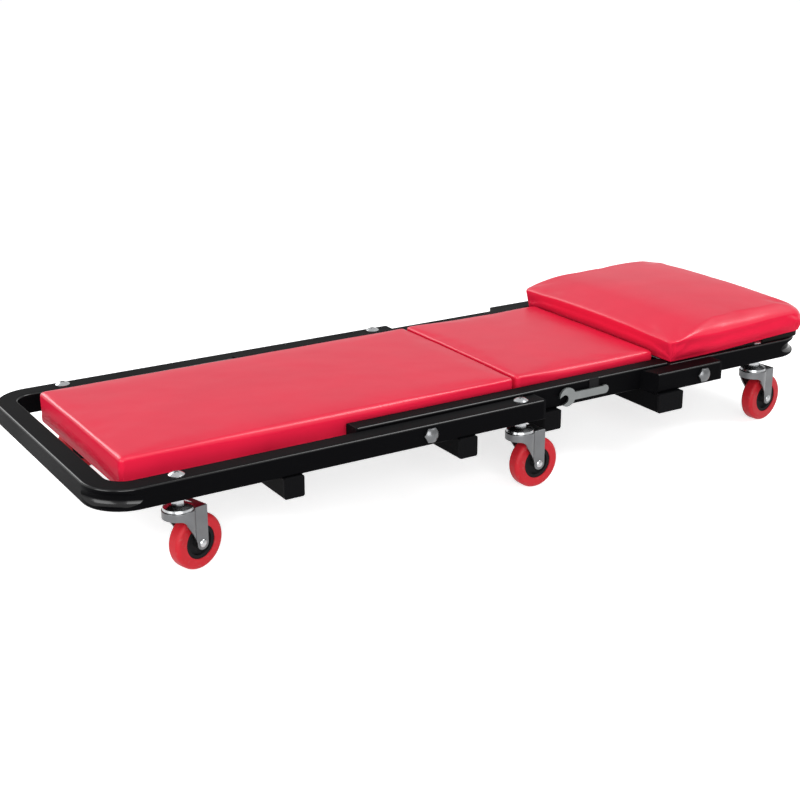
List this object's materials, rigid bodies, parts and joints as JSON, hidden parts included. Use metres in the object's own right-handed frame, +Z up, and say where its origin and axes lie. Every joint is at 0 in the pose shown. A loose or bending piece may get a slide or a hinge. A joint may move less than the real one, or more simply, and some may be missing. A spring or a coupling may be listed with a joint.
{
  "type": "convertible creeper seat",
  "caption": "Rolling mechanic's creeper with padded back, middle and head sections on a tubular frame that folds in a Z into a stool on swivel casters.",
  "frame": {"origin": "on the floor under the centre of the box, flat creeper pose", "axes": "+X towards the head end, +Y to the left, +Z up"},
  "size_m": [1.028, 0.3828, 0.1615],
  "materials": {
    "red_vinyl": "semi-gloss smooth vinyl",
    "plywood": "raw plywood",
    "black_plastic": "moulded",
    "red_tread": "smooth polyurethane",
    "black_hub": "moulded",
    "black_paint": "satin powder coat",
    "holder_black": "satin",
    "tool_steel": "satin plated",
    "zinc": "bright zinc plate"
  },
  "bodies": {
    "base": {"base_frame_tube": "black_paint", "base_foot_bar": "black_paint", "base_stop_bar": "black_paint", "base_end_plugs": "black_plastic", "back_pad_cushion": "red_vinyl", "back_pad_board": "plywood", "back_pad_screws": "zinc", "fold_hinge_bolts": "zinc", "fold_hinge_nuts_washers": "zinc", "base_caster_bolts": "zinc", "base_caster_nuts": "zinc", "base_caster_races": "zinc", "base_caster_balls": "zinc"},
    "middle": {"middle_rails": "black_paint", "seat_hinge_arms": "black_paint", "middle_bar": "black_paint", "seat_stop_bar": "black_paint", "middle_end_plugs": "black_plastic", "middle_pad_cushion": "red_vinyl", "middle_pad_board": "plywood", "middle_pad_screws": "zinc", "fold_hinge_bushes": "zinc", "seat_hinge_bolts": "zinc", "seat_hinge_nuts_washers": "zinc", "wrench_holder": "holder_black"},
    "head": {"head_frame_tube": "black_paint", "head_end_plugs": "black_plastic", "head_pad_cushion": "red_vinyl", "head_pad_board": "plywood", "head_pad_screws": "zinc", "seat_hinge_bushes": "zinc", "head_caster_bolts": "zinc", "head_caster_nuts": "zinc", "head_caster_races": "zinc", "head_caster_balls": "zinc"},
    "wrench": {"wrench": "tool_steel"},
    "foot_left_swivel": {"foot_left_fork": "zinc", "foot_left_axle": "zinc"},
    "foot_left_wheel": {"foot_left_tread": "red_tread", "foot_left_hub": "black_hub"},
    "foot_right_swivel": {"foot_right_fork": "zinc", "foot_right_axle": "zinc"},
    "foot_right_wheel": {"foot_right_tread": "red_tread", "foot_right_hub": "black_hub"},
    "middle_left_swivel": {"middle_left_fork": "zinc", "middle_left_axle": "zinc"},
    "middle_left_wheel": {"middle_left_tread": "red_tread", "middle_left_hub": "black_hub"},
    "middle_right_swivel": {"middle_right_fork": "zinc", "middle_right_axle": "zinc"},
    "middle_right_wheel": {"middle_right_tread": "red_tread", "middle_right_hub": "black_hub"},
    "head_left_swivel": {"head_left_fork": "zinc", "head_left_axle": "zinc"},
    "head_left_wheel": {"head_left_tread": "red_tread", "head_left_hub": "black_hub"},
    "head_right_swivel": {"head_right_fork": "zinc", "head_right_axle": "zinc"},
    "head_right_wheel": {"head_right_tread": "red_tread", "head_right_hub": "black_hub"}
  },
  "joints": [
    {"name": "fold_hinge", "type": "hinge", "parent": "base", "child": "middle", "pos_m": [-0.1153, 0, 0.1], "axis": [0, -1, 0], "range_deg": [0, 122]},
    {"name": "seat_hinge", "type": "hinge", "parent": "middle", "child": "head", "pos_m": [0.3007, 0, 0.1], "axis": [0, 1, 0], "range_deg": [0, 122]},
    {"name": "wrench_lift", "type": "slide", "parent": "middle", "child": "wrench", "axis": [0, -1, 0], "range_m": [0, 0.06]},
    {"name": "foot_left_swivel", "type": "hinge", "parent": "base", "child": "foot_left_swivel", "pos_m": [-0.4227, 0.1725, 0.0875], "axis": [0, 0, 1], "continuous": true},
    {"name": "foot_left_spin", "type": "hinge", "parent": "foot_left_swivel", "child": "foot_left_wheel", "pos_m": [-0.40196, 0.17578, 0.03175], "axis": [-0.1564, 0.9877, 0], "continuous": true},
    {"name": "foot_right_swivel", "type": "hinge", "parent": "base", "child": "foot_right_swivel", "pos_m": [-0.4227, -0.1725, 0.0875], "axis": [0, 0, 1], "continuous": true},
    {"name": "foot_right_spin", "type": "hinge", "parent": "foot_right_swivel", "child": "foot_right_wheel", "pos_m": [-0.40251, -0.16671, 0.03175], "axis": [-0.2756, 0.9613, 0], "continuous": true},
    {"name": "middle_left_swivel", "type": "hinge", "parent": "base", "child": "middle_left_swivel", "pos_m": [0.0197, 0.1725, 0.0875], "axis": [0, 0, 1], "continuous": true},
    {"name": "middle_left_spin", "type": "hinge", "parent": "middle_left_swivel", "child": "middle_left_wheel", "pos_m": [0.04065, 0.17397, 0.03175], "axis": [-0.0698, 0.9976, 0], "continuous": true},
    {"name": "middle_right_swivel", "type": "hinge", "parent": "base", "child": "middle_right_swivel", "pos_m": [0.0197, -0.1725, 0.0875], "axis": [0, 0, 1], "continuous": true},
    {"name": "middle_right_spin", "type": "hinge", "parent": "middle_right_swivel", "child": "middle_right_wheel", "pos_m": [0.04069, -0.17177, 0.03175], "axis": [-0.0349, 0.9994, 0], "continuous": true},
    {"name": "head_left_swivel", "type": "hinge", "parent": "head", "child": "head_left_swivel", "pos_m": [0.4273, 0.1455, 0.0875], "axis": [0, 0, 1], "continuous": true},
    {"name": "head_left_spin", "type": "hinge", "parent": "head_left_swivel", "child": "head_left_wheel", "pos_m": [0.44819, 0.14769, 0.03175], "axis": [-0.1045, 0.9945, 0], "continuous": true},
    {"name": "head_right_swivel", "type": "hinge", "parent": "head", "child": "head_right_swivel", "pos_m": [0.4273, -0.1455, 0.0875], "axis": [0, 0, 1], "continuous": true},
    {"name": "head_right_spin", "type": "hinge", "parent": "head_right_swivel", "child": "head_right_wheel", "pos_m": [0.4481, -0.14258, 0.03175], "axis": [-0.1392, 0.9903, 0], "continuous": true}
  ]
}
